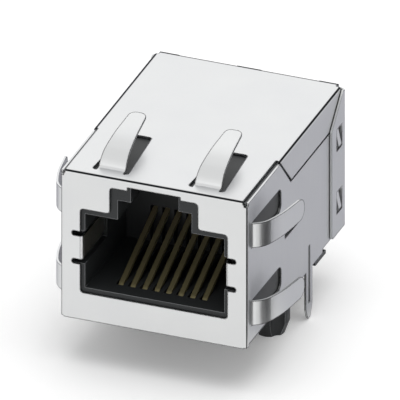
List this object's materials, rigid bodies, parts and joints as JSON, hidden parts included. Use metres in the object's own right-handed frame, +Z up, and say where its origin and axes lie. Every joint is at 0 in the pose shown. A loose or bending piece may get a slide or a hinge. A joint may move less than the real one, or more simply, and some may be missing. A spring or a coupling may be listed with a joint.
{
  "type": "rj45 board jack",
  "caption": "Shielded right-angle board jack for a modular network plug, with spring fingers, spring contacts, magnetics and solder pins.",
  "frame": {"origin": "on the board, midway between the two locating posts", "axes": "+X across the jack, +Y from the plug face to the rear, +Z up from the board"},
  "size_m": [0.0204, 0.0213, 0.0195],
  "materials": {
    "plated_shield": "tin over nickel plated sheet, satin",
    "black_moulding": "moulded glass-filled polyester, matt",
    "spring_contact": "gold-flashed phosphor bronze",
    "solder_pin": "tinned",
    "board_laminate": "green solder mask",
    "ferrite": "coated ferrite",
    "enamelled_wire": "enamelled copper",
    "chip_part": "fired, with tinned ends"
  },
  "bodies": {
    "root": {"capacitor": "chip_part", "choke_core_1": "ferrite", "choke_core_2": "ferrite", "choke_winding_1": "enamelled_wire", "choke_winding_2": "enamelled_wire", "circuit_board": "board_laminate", "contact_1": "spring_contact", "contact_2": "spring_contact", "contact_3": "spring_contact", "contact_4": "spring_contact", "contact_5": "spring_contact", "contact_6": "spring_contact", "contact_7": "spring_contact", "contact_8": "spring_contact", "contact_carrier": "black_moulding", "housing": "black_moulding", "resistor_1": "chip_part", "resistor_2": "chip_part", "resistor_3": "chip_part", "resistor_4": "chip_part", "shield": "plated_shield", "solder_pin_1": "solder_pin", "solder_pin_2": "solder_pin", "solder_pin_3": "solder_pin", "solder_pin_4": "solder_pin", "solder_pin_5": "solder_pin", "solder_pin_6": "solder_pin", "solder_pin_7": "solder_pin", "solder_pin_8": "solder_pin", "terminal_base": "black_moulding", "transformer_core_1": "ferrite", "transformer_core_2": "ferrite", "transformer_winding_1": "enamelled_wire", "transformer_winding_2": "enamelled_wire"}
  },
  "joints": []
}
